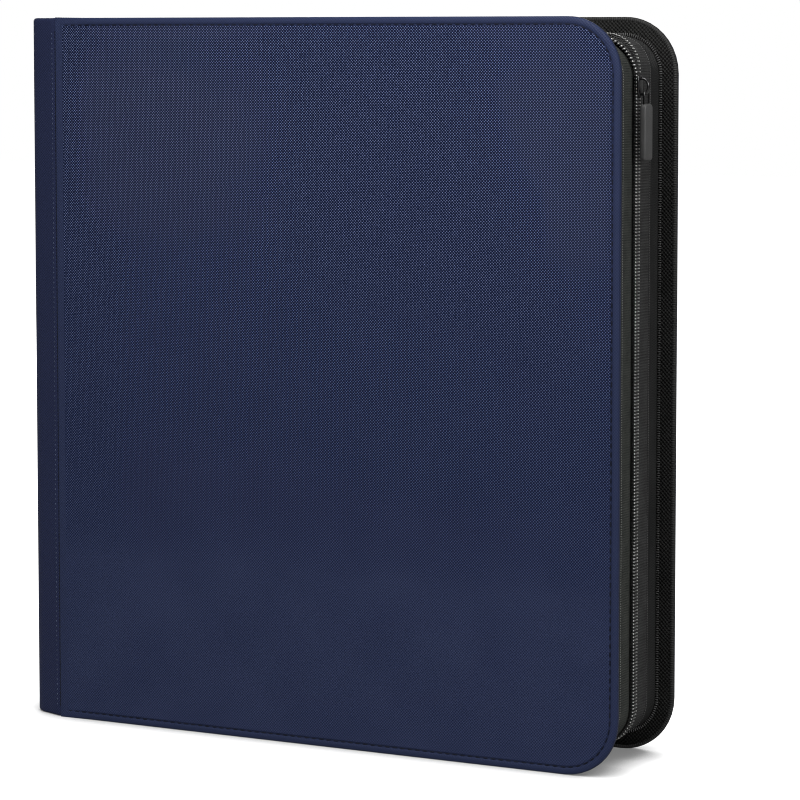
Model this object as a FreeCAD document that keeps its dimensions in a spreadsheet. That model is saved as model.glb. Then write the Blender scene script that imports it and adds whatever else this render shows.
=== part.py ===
"""Zip-round trading card binder, standing on its lower edges.

Frame: +X from the spine to the opening edge, -Y out of the front cover, +Z up, origin at the middle of the
footprint, millimetres. The spine carries a round-ring mechanism. Two stiff covers hinge on its padded
corners, each with half of a zip round its three free edges, and ten nine-pocket leaves turn on the rings.
"""

import FreeCAD, Part
import Sketcher
import math
import os

from FreeCAD import Placement, Rotation, Vector

DIMENSIONS = {
    # whole binder
    "binder_width": 318, "binder_depth": 66, "binder_height": 340,
    "corner_radius": 26, "hinge_line": 138.1,
    # cover and spine build-up, from the outside in
    "skin_thick": 0.5, "board_thick": 2, "lining_thick": 0.5, "binding_width": 1.2,
    # spine panel and its padded corners
    "spine_half": 17, "bend_radius": 12, "bend_slope": 20,
    "hinge_lift": 1, "hinge_gap": 0.05, "hinge_overrun": 4,
    # zip wall: how far it sits inside the cover's edge, its tape, its chain and the gap for the slider's post
    "flange_width": 9, "tape_thick": 0.8, "zip_start": 128, "chain_middle": 3.5,
    "chain_height": 1.4, "chain_width": 2.6, "chain_gap": 1.8, "front_spread": 11, "rear_spread": 5,
    "front_seam": 12, "rear_seam": 20, "stop_length": 4, "stop_height": 1,
    # slider and pull
    "slider_level": 308.7, "slider_length": 10.6, "slider_width": 9.4, "slider_plate": 1.1,
    "slider_clear": 0.6, "post_width": 1.6, "post_length": 3, "lip_clear": 0.3, "bridge_end": 1,
    "bridge_width": 2.4, "bridge_height": 4.2, "bridge_wire": 1.0,
    "link_wire": 1.1, "link_width": 6.4, "link_length": 8.3, "link_clear": 0.2,
    "tab_width": 8.4, "tab_thick": 3, "tab_length": 25.5, "tab_bevel": 0.9,
    # ring mechanism
    "ring_radius": 22, "ring_wire": 1.5, "ring_spacing": 107.95, "ring_centre": 25, "ring_root": 16,
    "housing_length": 280, "housing_width": 22, "housing_height": 7, "housing_wall": 4, "housing_thick": 0.9,
    "ring_slot": 5, "slot_inner": 4, "ring_end_angle": 0.2,
    "rail_length": 270, "rail_width": 9.2, "rail_thick": 1.2, "rail_level": 3.2, "rail_clear": 0.15,
    "rivet_radius": 2.2, "rivet_head": 4.2, "rivet_foot": 0.8, "rivet_crown": 1, "rivet_offset": 125,
    "rivet_clear": 0.1, "notch_clear": 0.8,
    "lever_radius": 1.6, "lever_reach": 14, "lever_width": 12, "lever_thick": 1.4, "lever_lean": 45,
    "lever_pin": 0.8, "pin_clear": 0.15, "lever_gap": 0.3,
    "ear_thick": 1, "ear_gap": 0.2, "ear_reach": 4, "ear_height": 5.6,
    # leaves
    "leaf_width": 236, "leaf_height": 286, "leaf_thick": 0.9, "leaf_pitch": 1.7, "leaf_hole": 4,
    "leaf_margin": 7.5, "leaf_play": 0.6,
}
LEAVES = 10
CORNER_STEPS = 10  # straight pieces that stand for each quarter turn of the zip
SMALL = 1e-3  # two places nearer than this are the same place

doc = FreeCAD.newDocument("CardBinder")


def fill_sheet():
    sheet = doc.addObject("Spreadsheet::Sheet", "Dimensions")
    for row, (name, value) in enumerate(DIMENSIONS.items(), 1):
        sheet.set(f"A{row}", name)
        sheet.set(f"B{row}", str(value))
        sheet.setAlias(f"B{row}", name)
    doc.recompute()
    return sheet


sheet = fill_sheet()


def size(name):
    """A driving dimension, read from the sheet."""
    return float(getattr(sheet, name))


def cells(text):
    """An expression in which each driving dimension's name stands for its cell."""
    words = []
    for word in text.replace("(", " ( ").replace(")", " ) ").split():
        words.append(f"Dimensions.{word}" if word in DIMENSIONS else word)
    return " ".join(words).replace("sqrt (", "sqrt(")


def bind(feature, **properties):
    """Binds each property to an expression; a double underscore in a key stands for a dot."""
    for key, text in properties.items():
        feature.setExpression(key.replace("__", "."), cells(str(text)))
    return feature


# Expressions that several pieces share
SPINE_FACE = "( 0 - binder_width / 2 + skin_thick + board_thick + lining_thick )"
COVER_FACE = "( binder_depth / 2 - skin_thick - board_thick - lining_thick )"
MIDDLE = "( binder_height / 2 )"
ZIP_X = "( binder_width / 2 - flange_width )"
RING_X = f"( {SPINE_FACE} + ring_centre )"


# ---------------------------------------------------------------- FreeCAD building blocks


def box(name, x, y, z):
    """A Part::Box between pairs of expressions."""
    made = doc.addObject("Part::Box", name)
    return bind(
        made,
        Length=f"( {x[1]} ) - ( {x[0]} )",
        Width=f"( {y[1]} ) - ( {y[0]} )",
        Height=f"( {z[1]} ) - ( {z[0]} )",
        Placement__Base__x=x[0],
        Placement__Base__y=y[0],
        Placement__Base__z=z[0],
    )


def cylinder(name, radius, length, place, rotation):
    """A Part::Cylinder from an expression point, along the rotation's own Z."""
    made = doc.addObject("Part::Cylinder", name)
    made.Placement = Placement(Vector(), rotation)
    return bind(
        made,
        Radius=radius,
        Height=length,
        Placement__Base__x=place[0],
        Placement__Base__y=place[1],
        Placement__Base__z=place[2],
    )


def cut(name, base, tool):
    made = doc.addObject("Part::Cut", name)
    made.Base, made.Tool = base, tool
    return made


def fuse(name, shapes):
    made = doc.addObject("Part::MultiFuse", name)
    made.Shapes = shapes
    return made


def group(name, shapes):
    made = doc.addObject("Part::Compound", name)
    made.Links = shapes
    return made


def mirrored(name, source):
    """The source mirrored from the front half to the rear half, through y = 0."""
    made = doc.addObject("Part::Mirroring", name)
    made.Source, made.Base, made.Normal = source, Vector(), Vector(0, 1, 0)
    return made


def new_sketch(body, name, role, offset):
    sketch = body.newObject("Sketcher::SketchObject", name)
    plane = next(f for f in body.Origin.OriginFeatures if f.Role == role)
    sketch.AttachmentSupport = [(plane, "")]
    sketch.MapMode = "FlatFace"
    return bind(sketch, AttachmentOffset__Base__z=offset)


def draw_rectangle(sketch, left, low, right, high):
    """A rectangle held by four distances from the origin, each bound to an expression."""
    corners = [Vector(-1, -1, 0), Vector(1, -1, 0), Vector(1, 1, 0), Vector(-1, 1, 0)]
    for k in range(4):
        sketch.addGeometry(Part.LineSegment(corners[k], corners[(k + 1) % 4]), False)
    for k in range(4):
        sketch.addConstraint(Sketcher.Constraint("Coincident", k, 2, (k + 1) % 4, 1))
    for k, kind in enumerate(("Horizontal", "Vertical", "Horizontal", "Vertical")):
        sketch.addConstraint(Sketcher.Constraint(kind, k))
    for kind, line, value, text in (
        ("DistanceX", 0, -1.0, left),
        ("DistanceY", 0, -1.0, low),
        ("DistanceX", 2, 1.0, right),
        ("DistanceY", 2, 1.0, high),
    ):
        index = sketch.addConstraint(Sketcher.Constraint(kind, -1, 1, line, 1, value))
        sketch.setExpression(f"Constraints[{index}]", cells(text))


def draw_circle(sketch, x, y, radius):
    """A circle whose centre and radius are bound to expressions."""
    sketch.addGeometry(Part.Circle(Vector(1, 1, 0), Vector(0, 0, 1), 1), False)
    for kind, ends, value, text in (
        ("DistanceX", (-1, 1, 0, 3), 1.0, x),
        ("DistanceY", (-1, 1, 0, 3), 1.0, y),
        ("Radius", (0,), 1.0, radius),
    ):
        index = sketch.addConstraint(Sketcher.Constraint(kind, *ends, value))
        sketch.setExpression(f"Constraints[{index}]", cells(text))


def edges_along_y(shape, x):
    """Names of the straight edges that run along Y at this x."""
    found = []
    for number, edge in enumerate(shape.Edges, 1):
        bounds = edge.BoundBox
        upright = abs(bounds.XMax - x) < SMALL and abs(bounds.XMin - x) < SMALL
        if upright and bounds.ZLength < SMALL < bounds.YLength:
            found.append(f"Edge{number}")
    return found


def plate(name, left, low, right, high, near, thick, radius=None):
    """A PartDesign body: a panel parallel to the covers, its two opening-side corners rounded.

    near is how far the panel's inner side is in front of y = 0, and thick runs on towards the front.
    """
    body = doc.addObject("PartDesign::Body", name)
    sketch = new_sketch(body, name + "_outline", "XZ_Plane", near)
    draw_rectangle(sketch, left, low, right, high)
    pad = body.newObject("PartDesign::Pad", name + "_pad")
    pad.Profile = sketch
    bind(pad, Length=thick)
    doc.recompute()
    if radius:
        fillet = body.newObject("PartDesign::Fillet", name + "_corners")
        fillet.Base = (pad, edges_along_y(pad.Shape, pad.Shape.BoundBox.XMax))
        bind(fillet, Radius=radius)
    return body


# ---------------------------------------------------------------- covers


def cover_panels(side, front):
    """Skin, board, lining and edge binding of one cover. The binding frames the board's free sides."""

    def level(depth_in, thick):
        """How far in front of y = 0 a layer starts, with its outer side depth_in below the cover's face."""
        outer = f"( binder_depth / 2 - ( {depth_in} ) )"
        return f"{outer} - {thick}" if front else f"0 - {outer}"

    left, right, high = "0 - hinge_line", "binder_width / 2", "binder_height"
    full = (left, "0", right, high)
    inset = (left, "binding_width", f"{right} - binding_width", f"{high} - binding_width")
    core = level("skin_thick", "board_thick")
    inside = level("skin_thick + board_thick", "lining_thick")
    skin = plate(side + "_skin", *full, level("0", "skin_thick"), "skin_thick", "corner_radius")
    board = plate(side + "_board", *inset, core, "board_thick", "corner_radius - binding_width")
    blank = plate(side + "_binding_blank", *full, core, "board_thick", "corner_radius")
    lining = plate(side + "_lining", *full, inside, "lining_thick", "corner_radius")
    return [skin, board, lining, cut(side + "_binding", blank, board)]


# ---------------------------------------------------------------- spine


def spine_panels():
    """Skin, board and lining of the flat spine panel."""
    outside = "0 - binder_width / 2"
    wide = ("0 - spine_half", "spine_half")
    tall = ("0", "binder_height")
    inside = f"{outside} + skin_thick + board_thick"
    return [
        box("spine_skin", (outside, f"{outside} + skin_thick"), wide, tall),
        box("spine_board", (f"{outside} + skin_thick", inside), wide, tall),
        box("spine_lining", (inside, f"{inside} + lining_thick"), wide, tall),
    ]


def hinge_layer(near, far):
    """One layer of the front padded corner, between two depths below its outer face.

    In plan it is an arc off the spine panel and then a straight run that meets the cover.
    """
    radius, slope = size("bend_radius"), math.radians(size("bend_slope"))
    centre = Vector(radius - size("binder_width") / 2, -size("spine_half"), 0)
    along = Vector(math.cos(slope), -math.sin(slope), 0)
    inward = Vector(math.sin(slope), math.cos(slope), 0)

    def line_of(depth):
        """Start, middle and end of the arc at this depth, and the far end of the straight run."""
        r = radius - depth
        turn = math.pi / 2 - slope
        points = [
            centre + Vector(-math.cos(a) * r, -math.sin(a) * r, 0) for a in (0, turn / 2, turn)
        ]
        run = (size("binder_depth") / 2 + points[2].y - depth * inward.y) / math.sin(slope)
        return [*points, points[2] + along * (run + size("hinge_overrun"))]

    outer, inner = line_of(near), line_of(far)
    edges = [
        Part.Arc(outer[0], outer[1], outer[2]).toShape(),
        Part.makeLine(outer[2], outer[3]),
        Part.makeLine(outer[3], inner[3]),
        Part.makeLine(inner[3], inner[2]),
        Part.Arc(inner[2], inner[1], inner[0]).toShape(),
        Part.makeLine(inner[0], outer[0]),
    ]
    face = Part.Face(Part.Wire(edges))
    lift = size("hinge_lift")
    solid = face.extrude(Vector(0, 0, size("binder_height") - 2 * lift))
    solid.translate(Vector(0, 0, lift))
    reach = size("binder_width")
    corner = Vector(-size("hinge_line") - size("hinge_gap"), -reach / 2, 0)
    beyond = Part.makeBox(reach, reach, size("binder_height"), corner)
    return solid.cut(beyond)


def hinge_corners():
    """The soft corners between the spine panel and each cover: skin, padding and lining."""
    skin, board, lining = size("skin_thick"), size("board_thick"), size("lining_thick")
    layers = {"skin": (0, skin), "pad": (skin, skin + board), "lining": (skin + board, skin + board + lining)}
    made = []
    for name, (near, far) in layers.items():
        front = doc.addObject("Part::Feature", "front_hinge_" + name)
        front.Shape = hinge_layer(near, far)
        made += [front, mirrored("rear_hinge_" + name, front)]
    return made


# ---------------------------------------------------------------- zip


def zip_stations():
    """Points along the zip wall, from the lower spine end to the upper one.

    Each is (x, z, outward direction, how far the zip is unzipped there from 0 to 1). It is unzipped above the
    slider.
    """
    wall_x = size("binder_width") / 2 - size("flange_width")
    low, high = size("flange_width"), size("binder_height") - size("flange_width")
    radius = size("corner_radius") - size("flange_width")
    start = -size("zip_start")
    stations = [(start, low, Vector(0, 0, -1), 0.0)]
    for corner_z, first in ((low + radius, -math.pi / 2), (high - radius, 0.0)):
        for step in range(CORNER_STEPS + 1):
            angle = first + math.pi / 2 * step / CORNER_STEPS
            out = Vector(math.cos(angle), 0, math.sin(angle))
            spread = step / CORNER_STEPS if first == 0.0 else 0.0
            stations.append((wall_x - radius + radius * out.x, corner_z + radius * out.z, out, spread))
    stations.append((start, high, Vector(0, 0, 1), 1.0))
    return stations


def zip_band(name, near, far, inner, outer):
    """A band round the zip wall, between two heights off it. near and far give y for a share unzipped."""
    sections = []
    for x, z, out, share in zip_stations():
        foot = Vector(x, 0, z)
        corners = [
            foot + out * inner + Vector(0, near(share), 0),
            foot + out * outer + Vector(0, near(share), 0),
            foot + out * outer + Vector(0, far(share), 0),
            foot + out * inner + Vector(0, far(share), 0),
        ]
        sections.append(Part.makePolygon([*corners, corners[0]]))
    made = doc.addObject("Part::Feature", name)
    made.Shape = Part.makeLoft(sections, True, True)
    return made


def zip_halves():
    """Gusset cloth, tape and chain of each half. Above the slider the chains part and draw back."""
    face = size("binder_depth") / 2 - size("skin_thick") - size("board_thick") - size("lining_thick")
    middle, half_gap = size("chain_middle"), size("chain_gap") / 2
    width = size("chain_width")
    under, over = -size("tape_thick"), size("chain_height")
    made = []
    halves = (("front", -1, size("front_seam")), ("rear", 1, size("rear_seam")))
    for side, sign, seam_level in halves:
        wall, seam, spread = sign * face, sign * seam_level, size(side + "_spread")

        def wall_edge(share, wall=wall):
            return wall

        def seam_edge(share, sign=sign, seam=seam, spread=spread):
            return seam + sign * spread * share / 2

        def outer_edge(share, sign=sign, spread=spread):
            return middle + sign * (half_gap + width + spread * share)

        def inner_edge(share, sign=sign, spread=spread):
            return middle + sign * (half_gap + spread * share)

        made.append(zip_band(side + "_gusset", wall_edge, seam_edge, under, 0))
        made.append(zip_band(side + "_zip_tape", seam_edge, inner_edge, under, 0))
        made.append(zip_band(side + "_zip_chain", outer_edge, inner_edge, 0, over))
    return made


def zip_stops():
    """Metal stops clamped on the rear chain at both spine ends of the zip."""
    x = ("0 - zip_start", "stop_length - zip_start")
    rear = "chain_middle + chain_gap / 2"
    low = "( flange_width - chain_height )"
    high = "( binder_height - flange_width + chain_height )"
    shut = (rear, f"{rear} + chain_width")
    parted = (f"{rear} + rear_spread", f"{rear} + rear_spread + chain_width")
    return [
        group(
            "zip_stops",
            [
                box("zip_stop_low", x, shut, (f"{low} - stop_height", low)),
                box("zip_stop_high", x, parted, (high, f"{high} + stop_height")),
            ],
        )
    ]


def slider():
    """Slider body on the rear chain, of two plates, the post between the chains and the rear lip, and its bridge.

    The body's front side is open, so that the front chain can leave it.
    """
    low = "( slider_level - slider_length / 2 )"
    z = (low, f"{low} + slider_length")
    y = ("chain_middle - slider_width / 2", "chain_middle + slider_width / 2")
    top = f"( {ZIP_X} + chain_height + slider_clear )"
    under = f"( {ZIP_X} - tape_thick - slider_clear )"
    lip = ("chain_middle + slider_width / 2 - slider_plate", y[1])
    post = ("chain_middle - post_width / 2", "chain_middle + post_width / 2")
    outer = box("slider_outer_plate", (top, f"{top} + slider_plate"), y, z)
    inner = box("slider_inner_plate", (f"{under} - slider_plate", under), y, z)
    wedge = box("slider_post", (under, top), post, (f"{z[1]} - post_length", z[1]))
    outer_lip = box("slider_outer_lip", (f"{ZIP_X} + lip_clear", top), lip, z)
    body = fuse("slider_body", [outer, inner, wedge, outer_lip])

    crown = f"( {top} + slider_plate )"
    bridge_y = ("chain_middle - bridge_width / 2", "chain_middle + bridge_width / 2")
    bridge_z = (f"{low} + bridge_end", f"{z[1]} - bridge_end")
    block = box("bridge_block", (crown, f"{crown} + bridge_height"), bridge_y, bridge_z)
    window = box(
        "bridge_window",
        (crown, f"{crown} + bridge_height - bridge_wire"),
        ("chain_middle - bridge_width", "chain_middle + bridge_width"),
        (f"{bridge_z[0]} + bridge_wire", f"{bridge_z[1]} - bridge_wire"),
    )
    return [body, cut("slider_bridge", block, window)]


def pull():
    """Wire link through the bridge, with its upper bar as the pivot, and the moulded tab on its lower end."""
    crown = f"( {ZIP_X} + chain_height + slider_clear + slider_plate )"
    low = "( slider_level - slider_length / 2 )"
    bar_x = f"( {crown} + bridge_height - bridge_wire - link_wire / 2 - link_clear )"
    bar_z = f"( {low} + bridge_end + bridge_wire + link_wire )"
    x = (f"{bar_x} - link_wire / 2", f"{bar_x} + link_wire / 2")
    y = ("chain_middle - link_width / 2", "chain_middle + link_width / 2")
    z = (f"{bar_z} + link_wire / 2 - link_length", f"{bar_z} + link_wire / 2")
    frame = box("link_blank", x, y, z)
    hole = box(
        "link_window",
        (f"{x[0]} - link_wire", f"{x[1]} + link_wire"),
        (f"{y[0]} + link_wire", f"{y[1]} - link_wire"),
        (f"{z[0]} + link_wire", f"{z[1]} - link_wire"),
    )
    link = cut("pull_link", frame, hole)
    tab_top = f"( {z[0]} + 2 * link_wire )"
    tab = box(
        "tab_blank",
        (f"{bar_x} - tab_thick / 2", f"{bar_x} + tab_thick / 2"),
        ("chain_middle - tab_width / 2", "chain_middle + tab_width / 2"),
        (f"{tab_top} - tab_length", tab_top),
    )
    doc.recompute()
    bevelled = doc.addObject("Part::Chamfer", "tab_bevelled")
    bevelled.Base = tab
    long_edges = [n for n, e in enumerate(tab.Shape.Edges, 1) if e.BoundBox.ZLength > size("tab_width")]
    bevel = size("tab_bevel")
    bevelled.Edges = [(n, bevel, bevel) for n in long_edges]
    return [link, cut("pull_tab", bevelled, link)]


# ---------------------------------------------------------------- ring mechanism

RING_LEVELS = [f"{MIDDLE} - ring_spacing", MIDDLE, f"{MIDDLE} + ring_spacing"]
RIVET_LEVELS = [f"{MIDDLE} - rivet_offset", f"{MIDDLE} + rivet_offset"]


def housing_section(shrink):
    """Outline of the housing in plan: two upright walls under a shallow arched crown, drawn in by shrink."""
    foot = size("skin_thick") + size("board_thick") + size("lining_thick") - size("binder_width") / 2
    half, wall = size("housing_width") / 2 - shrink, foot + size("housing_wall") - shrink / 2
    crown = foot + size("housing_height") - shrink
    near, far = Vector(wall, -half, 0), Vector(wall, half, 0)
    edges = [
        Part.makeLine(Vector(foot, half, 0), Vector(foot, -half, 0)),
        Part.makeLine(Vector(foot, -half, 0), near),
        Part.Arc(near, Vector(crown, 0, 0), far).toShape(),
        Part.makeLine(far, Vector(foot, half, 0)),
    ]
    return Part.Face(Part.Wire(edges))


def lever_levels():
    """Heights of the upper and the lower lever's pivot, as expressions."""
    end = "( housing_length / 2 + lever_radius + lever_gap )"
    return [f"{MIDDLE} + {end}", f"{MIDDLE} - {end}"]


def housing():
    """Arched spring-steel cover of the mechanism, slotted for the rings and holed for its rivets.

    Ears at both ends hold the levers' pins.
    """
    arch = doc.addObject("Part::Feature", "housing_arch")
    profile = housing_section(0).cut(housing_section(size("housing_thick")))
    arch.Shape = profile.extrude(Vector(0, 0, size("housing_length")))
    low = (size("binder_height") - size("housing_length")) / 2
    arch.Placement = Placement(Vector(0, 0, low), Rotation())
    turn = Rotation(Vector(0, 1, 0), 90)
    through = (f"{SPINE_FACE} - housing_thick", f"{SPINE_FACE} + housing_height + housing_thick")
    tools = []
    for k, level in enumerate(RING_LEVELS):
        z = (f"{level} - ring_slot / 2", f"{level} + ring_slot / 2")
        tools.append(box(f"front_slot_{k}", through, ("0 - housing_width", "0 - slot_inner"), z))
        tools.append(box(f"rear_slot_{k}", through, ("slot_inner", "housing_width"), z))
    for k, level in enumerate(RIVET_LEVELS):
        place = (SPINE_FACE, "0", level)
        deep = "housing_height + housing_thick"
        tools.append(cylinder(f"rivet_hole_{k}", "rivet_radius + rivet_clear", deep, place, turn))
    across = Rotation(Vector(1, 0, 0), -90)
    ears, pin_holes = [], []
    pivot_x = f"( {SPINE_FACE} + rail_level )"
    for k, level in enumerate(lever_levels()):
        for side, sign in (("front", "0 - 1"), ("rear", "1")):
            middle = f"( ( {sign} ) * ( lever_width / 2 + ear_gap + ear_thick / 2 ) )"
            ears.append(
                box(
                    f"ear_{side}_{k}",
                    (f"{SPINE_FACE} + ear_thick", f"{SPINE_FACE} + ear_height"),
                    (f"{middle} - ear_thick / 2", f"{middle} + ear_thick / 2"),
                    (f"{level} - ear_reach", f"{level} + ear_reach / 2"),
                )
            )
        start = (pivot_x, "0 - lever_width", level)
        pin_holes.append(cylinder(f"pin_hole_{k}", "lever_pin + pin_clear", "2 * lever_width", start, across))
    eared = fuse("housing_eared", [cut("housing_slotted", arch, fuse("housing_cuts", tools)), *ears])
    return [cut("ring_housing", eared, fuse("pin_holes", pin_holes))]


def rivets():
    """Two rivets through the housing's crown, headed above it and seated on the spine's lining."""
    made = []
    turn = Rotation(Vector(0, 1, 0), 90)
    for k, level in enumerate(RIVET_LEVELS):
        low = (SPINE_FACE, "0", level)
        crown = (f"{SPINE_FACE} + housing_height", "0", level)
        shank = cylinder(f"rivet_shank_{k}", "rivet_radius", "housing_height + rivet_crown / 2", low, turn)
        head = cylinder(f"rivet_head_{k}", "rivet_head", "rivet_crown", crown, turn)
        foot = cylinder(f"rivet_foot_{k}", "rivet_head", "rivet_foot", low, turn)
        made.append(fuse(f"rivet_{k}", [shank, head, foot]))
    return [group("housing_rivets", made)]


def front_rail(rings):
    """Flat toggle rail of the front ring halves, notched round the rivets and seated for the rings."""
    x = (f"{SPINE_FACE} + rail_level - rail_thick / 2", f"{SPINE_FACE} + rail_level + rail_thick / 2")
    y = ("0 - rail_clear - rail_width", "0 - rail_clear")
    blank = box("rail_blank", x, y, (f"{MIDDLE} - rail_length / 2", f"{MIDDLE} + rail_length / 2"))
    turn = Rotation(Vector(0, 1, 0), 90)
    notches = []
    for k, level in enumerate(RIVET_LEVELS):
        place = (SPINE_FACE, "0", level)
        notches.append(cylinder(f"rail_notch_{k}", "rivet_head + notch_clear", "housing_height", place, turn))
    return cut("front_rail", cut("rail_notched", blank, fuse("rail_notches", notches)), rings)


def front_ring_halves():
    """The three front half rings: wire arcs from the rail round to the split opposite it."""
    made = []
    for k, level in enumerate(RING_LEVELS):
        ring = doc.addObject("Part::Torus", f"front_ring_{k}")
        ring.Angle1, ring.Angle2 = -180, 180
        ring.Placement = Placement(Vector(), Rotation(Vector(0, 0, 1), 180 + size("ring_root")))
        bind(
            ring,
            Radius1="ring_radius",
            Radius2="ring_wire",
            Angle3="180 - ring_root - ring_end_angle",
            Placement__Base__x=RING_X,
            Placement__Base__z=level,
        )
        made.append(ring)
    return group("front_ring_halves", made)


def ring_halves():
    rings = front_ring_halves()
    rail = front_rail(rings)
    return [rail, rings, mirrored("rear_rail", rail), mirrored("rear_ring_halves", rings)]


def lever(name, level, upward):
    """Trigger at one end of the housing: a barrel across it and a finger tab leaning off the spine."""
    pivot = (f"{SPINE_FACE} + rail_level", "0 - lever_width / 2", level)
    across = Rotation(Vector(1, 0, 0), -90)
    barrel = cylinder(name + "_barrel", "lever_radius", "lever_width", pivot, across)
    pin_reach = "( ear_gap + ear_thick )"
    pin_start = (pivot[0], f"{pivot[1]} - {pin_reach}", level)
    pin = cylinder(name + "_pin", "lever_pin", f"lever_width + 2 * {pin_reach}", pin_start, across)
    tab = doc.addObject("Part::Box", name + "_tab")
    lean = size("lever_lean") if upward else 180 - size("lever_lean")
    tab.Placement = Placement(Vector(), Rotation(Vector(0, 1, 0), lean))
    side = "0 - lever_thick / 2"
    angle = math.radians(lean)
    bind(
        tab,
        Length="lever_thick",
        Width="lever_width",
        Height="lever_reach",
        Placement__Base__x=f"{pivot[0]} + ( {side} ) * {math.cos(angle)}",
        Placement__Base__y=pivot[1],
        Placement__Base__z=f"{level} - ( {side} ) * {math.sin(angle)}",
    )
    return fuse(name, [barrel, pin, tab])


def levers():
    upper, lower = lever_levels()
    return [lever("top_lever", upper, True), lever("bottom_lever", lower, False)]


# ---------------------------------------------------------------- leaves


def leaf(number):
    """One nine-pocket leaf. Its three holes sit where the ring's wire crosses it."""
    y = f"( leaf_pitch * ( {number} - ( {LEAVES} + 1 ) / 2 ) )"
    name = f"leaf_{number:02d}"
    hole_x = f"( {RING_X} + sqrt( ring_radius * ring_radius - {y} * {y} ) + leaf_play )"
    left = f"( {hole_x} - leaf_margin )"
    low = f"( {MIDDLE} - leaf_height / 2 )"
    near = f"0 - {y} - leaf_thick / 2"
    sheet_body = plate(name, left, low, f"{left} + leaf_width", f"{low} + leaf_height", near, "leaf_thick")
    holes = new_sketch(sheet_body, name + "_hole", "XZ_Plane", near)
    draw_circle(holes, hole_x, RING_LEVELS[0], "leaf_hole")
    pocket = sheet_body.newObject("PartDesign::Pocket", name + "_punch")
    pocket.Profile = holes
    pocket.Type = "ThroughAll"
    pocket.Midplane = True
    doc.recompute()
    row = sheet_body.newObject("PartDesign::LinearPattern", name + "_row")
    row.Originals = [pocket]
    row.Direction = (holes, ["V_Axis"])
    row.Occurrences = len(RING_LEVELS)
    bind(row, Length="2 * ring_spacing")
    sheet_body.Tip = row
    return sheet_body


# ---------------------------------------------------------------- checks and output


def check_and_export(parts):
    doc.recompute()
    faults = [o.Name for o in doc.Objects if "Invalid" in o.State or "Error" in o.State]
    if faults:
        raise RuntimeError(f"objects that failed to compute: {faults}")
    os.makedirs("parts", exist_ok=True)
    for old in os.listdir("parts"):
        os.remove(os.path.join("parts", old))
    for made in parts:
        shape = made.Shape
        if shape.isNull() or not shape.isValid() or not shape.Solids:
            raise RuntimeError(f"{made.Name} has no valid solid")
        if any(solid.Volume <= 0 for solid in shape.Solids):
            raise RuntimeError(f"{made.Name} holds an inside-out solid")
        made.Label = made.Name
        shape.exportStep(f"parts/{made.Label}.step")
        bounds = shape.BoundBox
        print(
            f"{made.Label:20s} solids {len(shape.Solids)}  volume {shape.Volume:10.1f}  "
            f"x {bounds.XMin:7.1f} {bounds.XMax:7.1f}  y {bounds.YMin:6.1f} {bounds.YMax:6.1f}  "
            f"z {bounds.ZMin:6.1f} {bounds.ZMax:6.1f}"
        )


def main():
    parts = cover_panels("front", True) + cover_panels("rear", False)
    parts += spine_panels() + hinge_corners()
    parts += zip_halves() + zip_stops() + slider() + pull()
    parts += housing() + rivets() + ring_halves() + levers()
    parts += [leaf(number) for number in range(1, LEAVES + 1)]
    check_and_export(parts)


main()
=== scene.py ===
"""Looks of the zip-round card binder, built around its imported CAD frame. Metres, in the CAD's own frame.

+X runs from the spine to the opening edge, -Y out of the front cover and +Z up. The cloth, the zip, its
slider and pull are made here in place of their plain CAD solids, and the leaves get their pocket films. The
boards, the ring mechanism, the zip stops and the leaf cores keep their CAD meshes.
"""

import math

import bpy
import numpy as np
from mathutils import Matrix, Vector, noise


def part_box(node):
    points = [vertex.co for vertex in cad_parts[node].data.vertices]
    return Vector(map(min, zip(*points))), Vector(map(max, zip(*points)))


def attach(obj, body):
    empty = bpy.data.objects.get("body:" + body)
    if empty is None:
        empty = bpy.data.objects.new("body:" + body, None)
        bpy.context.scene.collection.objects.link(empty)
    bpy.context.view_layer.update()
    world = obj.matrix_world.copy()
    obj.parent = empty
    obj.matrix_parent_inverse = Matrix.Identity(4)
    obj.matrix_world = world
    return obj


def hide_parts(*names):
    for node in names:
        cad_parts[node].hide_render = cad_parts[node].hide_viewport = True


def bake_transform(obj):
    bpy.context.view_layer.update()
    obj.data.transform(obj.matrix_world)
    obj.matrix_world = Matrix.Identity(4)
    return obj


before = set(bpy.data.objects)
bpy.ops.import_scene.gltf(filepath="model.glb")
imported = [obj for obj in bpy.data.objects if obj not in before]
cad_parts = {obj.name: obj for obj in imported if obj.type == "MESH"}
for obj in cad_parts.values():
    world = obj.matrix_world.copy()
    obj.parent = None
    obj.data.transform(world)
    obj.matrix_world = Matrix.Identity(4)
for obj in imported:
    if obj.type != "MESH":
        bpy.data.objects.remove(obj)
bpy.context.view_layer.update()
MM = 0.001

# ---------------------------------------- places, read from the frame

COVER_LOW, COVER_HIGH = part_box("front_skin")
HINGE_X, EDGE_X, HEIGHT = COVER_LOW.x, COVER_HIGH.x, COVER_HIGH.z
FACE_Y = -COVER_LOW.y
INSIDE_Y = -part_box("front_lining")[1].y
SPINE_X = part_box("spine_skin")[0].x
SPINE_HALF_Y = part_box("spine_skin")[1].y
WALL_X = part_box("front_gusset")[1].x
ZIP_START_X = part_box("front_gusset")[0].x
FLANGE = EDGE_X - WALL_X
CORNER = 26 * MM  # radius of the covers' two outer corners
THICK = FACE_Y - INSIDE_Y
FRONT_SEAM_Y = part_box("front_gusset")[1].y
REAR_SEAM_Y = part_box("rear_gusset")[0].y
CHAIN_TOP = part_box("front_zip_chain")[1].x - WALL_X
CHAIN_Y = (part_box("front_zip_tape")[1].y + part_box("rear_zip_tape")[0].y) / 2
CHAIN_WIDTH = 2.6 * MM
CHAIN_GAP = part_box("rear_zip_tape")[0].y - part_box("front_zip_tape")[1].y
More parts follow.
